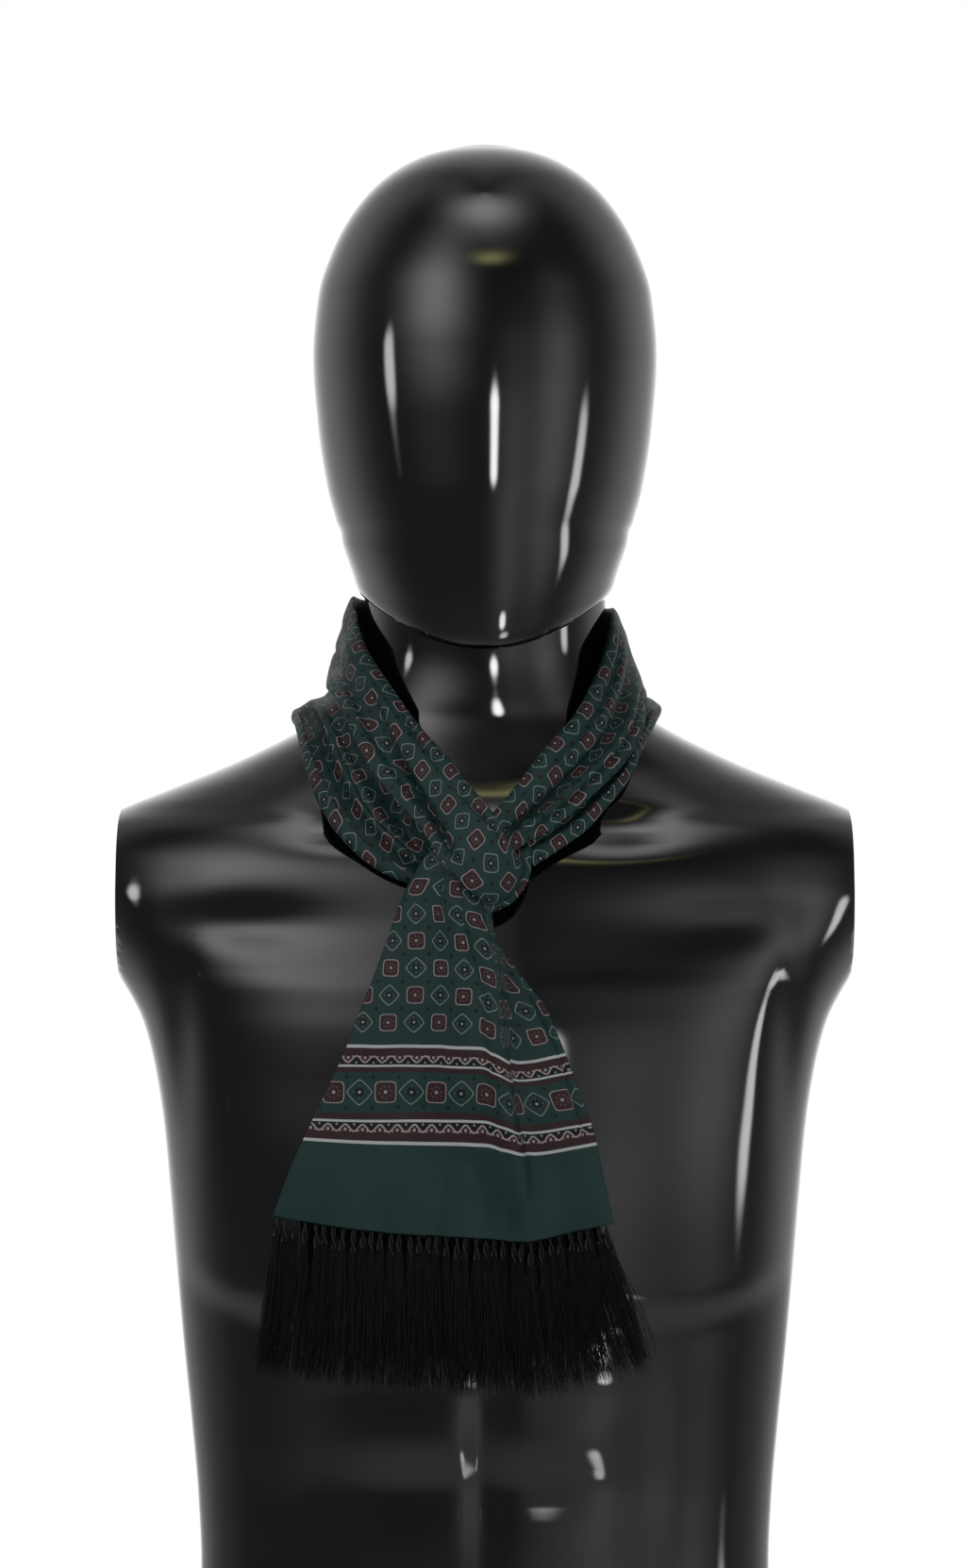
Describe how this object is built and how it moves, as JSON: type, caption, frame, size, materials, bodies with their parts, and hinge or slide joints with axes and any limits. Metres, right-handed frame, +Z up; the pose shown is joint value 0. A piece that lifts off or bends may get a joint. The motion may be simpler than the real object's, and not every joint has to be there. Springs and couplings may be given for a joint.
{
  "type": "fringed silk scarf on an armless head-and-torso display form",
  "caption": "Printed silk scarf with fringed ends, doubled round the neck of a glossy display form in a loop knot.",
  "frame": {"origin": "on the floor, in the middle of the whole part's width and depth", "axes": "+Z up, the chest and the scarf's knot face -Y, the loop of the scarf lies on the -X side"},
  "size_m": [0.366, 0.2376, 0.841],
  "materials": {
    "black_gloss": "high gloss",
    "printed_silk": "soft sheen, printed on both faces",
    "black_thread": "soft sheen"
  },
  "bodies": {
    "root": {"display_form": "black_gloss", "wrap_lower": "printed_silk", "wrap_upper": "printed_silk", "tail_front": "printed_silk", "tail_back": "printed_silk", "fringe_front": "black_thread", "fringe_back": "black_thread"}
  },
  "joints": []
}
